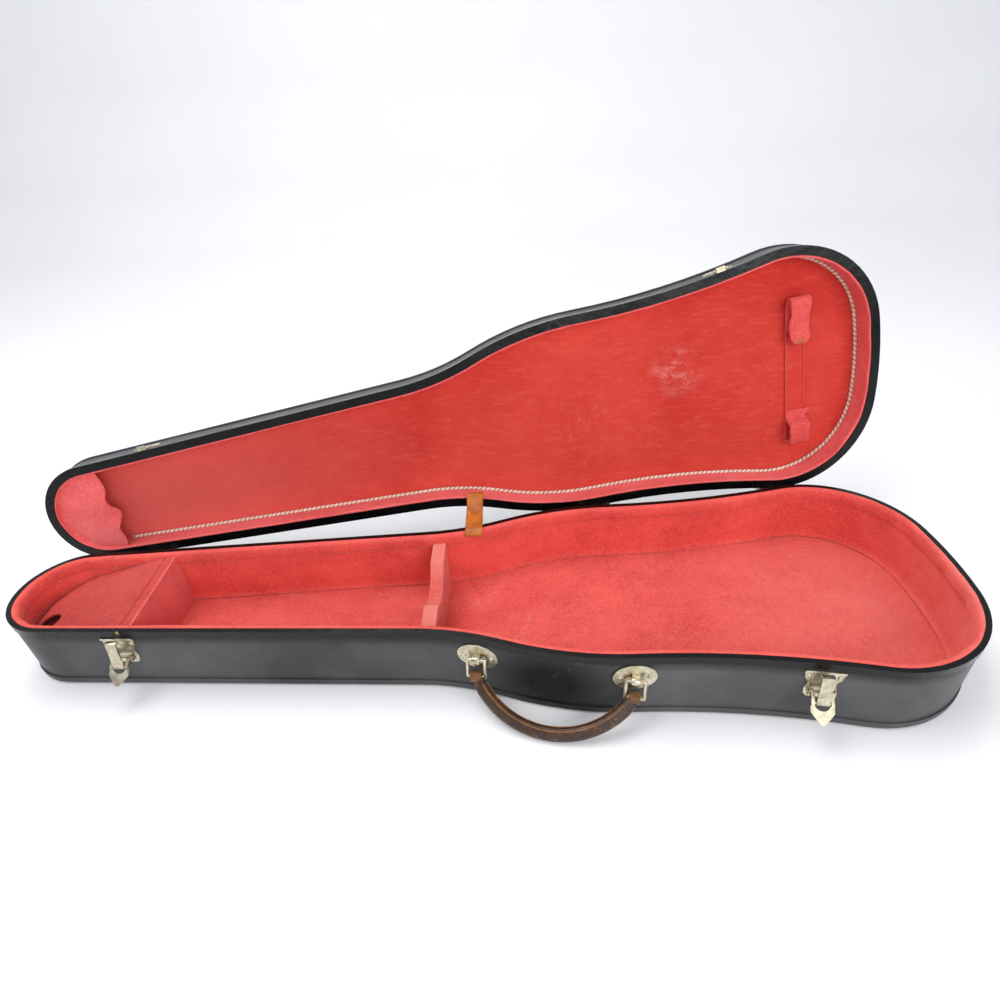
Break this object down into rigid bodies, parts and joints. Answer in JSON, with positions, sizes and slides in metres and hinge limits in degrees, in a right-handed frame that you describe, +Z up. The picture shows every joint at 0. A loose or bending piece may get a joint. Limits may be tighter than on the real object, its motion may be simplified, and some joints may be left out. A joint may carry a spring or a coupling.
{
  "type": "violin case",
  "caption": "Open shaped wooden instrument case with cloth linings, hinged lid, bow holders, lidded accessory compartment, latches and a swinging carrying handle",
  "frame": {"origin": "centre of the underside of the base board, on the case's long axis", "axes": "+X from the scroll end to the butt end, +Y towards the hinges, +Z up"},
  "size_m": [0.813, 0.3326, 0.2771],
  "materials": {
    "shell": "glossy black covering",
    "binding": "black edge binding",
    "lining": "pink-red plush",
    "woven": "red woven cloth",
    "cord": "twisted two-colour cord",
    "strap": "tan strap",
    "handle": "dark brown stitched leather",
    "nickel": "aged nickel plate",
    "brass": "aged brass nail",
    "wood": "plain softwood"
  },
  "bodies": {
    "base": {"base_bottom_panel": "shell", "base_side_wall_front": "shell", "base_side_wall_back": "shell", "base_rim_binding": "binding", "base_floor_lining": "lining", "base_wall_lining": "lining", "base_lip_lining": "lining", "neck_partition": "wood", "neck_partition_cover": "lining", "compartment_panel": "wood", "compartment_panel_cover": "lining", "compartment_cleats": "wood", "hinge_base_leaf_nose": "nickel", "hinge_base_leaf_middle": "nickel", "hinge_base_leaf_butt": "nickel", "hinge_pins": "nickel", "hinge_base_screws": "nickel", "latch_plate_nose": "nickel", "latch_pin_nose": "nickel", "latch_plate_butt": "nickel", "latch_pin_butt": "nickel", "latch_nails": "nickel", "handle_plate_left": "nickel", "handle_plate_right": "nickel", "handle_nails": "nickel", "stay_strap": "strap", "rim_nail": "brass"},
    "lid": {"lid_top_panel": "shell", "lid_side_wall_front": "shell", "lid_side_wall_back": "shell", "lid_rim_binding": "binding", "lid_top_lining": "woven", "lid_wall_lining": "lining", "lid_trim_cord": "cord", "bow_tip_pocket": "woven", "bow_tip_pocket_piping": "cord", "bow_strap_backing": "woven", "bow_keeper_band": "lining", "bow_loop": "lining", "bow_flap_fold": "lining", "hinge_lid_leaf_nose": "nickel", "hinge_lid_leaf_middle": "nickel", "hinge_lid_leaf_butt": "nickel", "hinge_lid_screws": "nickel", "catch_nose": "nickel", "catch_butt": "nickel", "catch_nails": "nickel"},
    "compartment_lid": {"compartment_lid": "wood", "compartment_lid_cover": "lining"},
    "latch_lever_nose": {"latch_lever_nose": "nickel", "latch_rivet_nose": "nickel"},
    "latch_hook_nose": {"latch_hook_nose": "nickel"},
    "latch_lever_butt": {"latch_lever_butt": "nickel", "latch_rivet_butt": "nickel"},
    "latch_hook_butt": {"latch_hook_butt": "nickel"},
    "handle_links": {"handle_link_left": "nickel", "handle_link_right": "nickel"},
    "handle_grip": {"handle_grip": "handle", "handle_eyelets": "nickel"},
    "bow_flap": {"bow_flap": "lining"}
  },
  "joints": [
    {"name": "lid_hinge", "type": "hinge", "parent": "base", "child": "lid", "pos_m": [-0.35729, 0.04976, 0.04388], "axis": [0.9951, 0.0979, 0.0168], "range_deg": [0, 101.6], "deforming": ["stay_strap"]},
    {"name": "compartment_lid_hinge", "type": "hinge", "parent": "base", "child": "compartment_lid", "pos_m": [-0.2896, 0, 0.0605], "axis": [0, -1, 0], "range_deg": [-75, 0]},
    {"name": "latch_lever_nose", "type": "hinge", "parent": "base", "child": "latch_lever_nose", "pos_m": [-0.28768, -0.05468, 0.0395], "axis": [0.999, -0.0436, 0], "range_deg": [-100, 0]},
    {"name": "latch_hook_nose", "type": "hinge", "parent": "latch_lever_nose", "child": "latch_hook_nose", "pos_m": [-0.28801, -0.06214, 0.03622], "axis": [0.999, -0.0436, 0], "range_deg": [0, 110]},
    {"name": "latch_lever_butt", "type": "hinge", "parent": "base", "child": "latch_lever_butt", "pos_m": [0.25631, -0.10761, 0.0395], "axis": [0.9865, -0.1638, 0], "range_deg": [-100, 0]},
    {"name": "latch_hook_butt", "type": "hinge", "parent": "latch_lever_butt", "child": "latch_hook_butt", "pos_m": [0.25509, -0.11498, 0.03622], "axis": [0.9865, -0.1638, 0], "range_deg": [0, 110]},
    {"name": "handle_swing", "type": "hinge", "parent": "base", "child": "handle_links", "pos_m": [0.06535, -0.08591, 0.045], "axis": [0.9801, -0.1986, 0], "range_deg": [-95, 0]},
    {"name": "grip_pivot", "type": "hinge", "parent": "handle_links", "child": "handle_grip", "pos_m": [0.0648, -0.08863, 0.02924], "axis": [0.9801, -0.1986, 0], "range_deg": [-20, 0]},
    {"name": "bow_flap_hinge", "type": "hinge", "parent": "lid", "child": "bow_flap", "pos_m": [0.30764, 0.17413, 0.22267], "axis": [0.9882, 0.1005, 0.116], "range_deg": [-110, 0]}
  ],
  "couplings": [
    {"joint": "latch_hook_nose", "follows": "latch_lever_nose", "ratio": -1.1},
    {"joint": "latch_hook_butt", "follows": "latch_lever_butt", "ratio": -1.1}
  ]
}
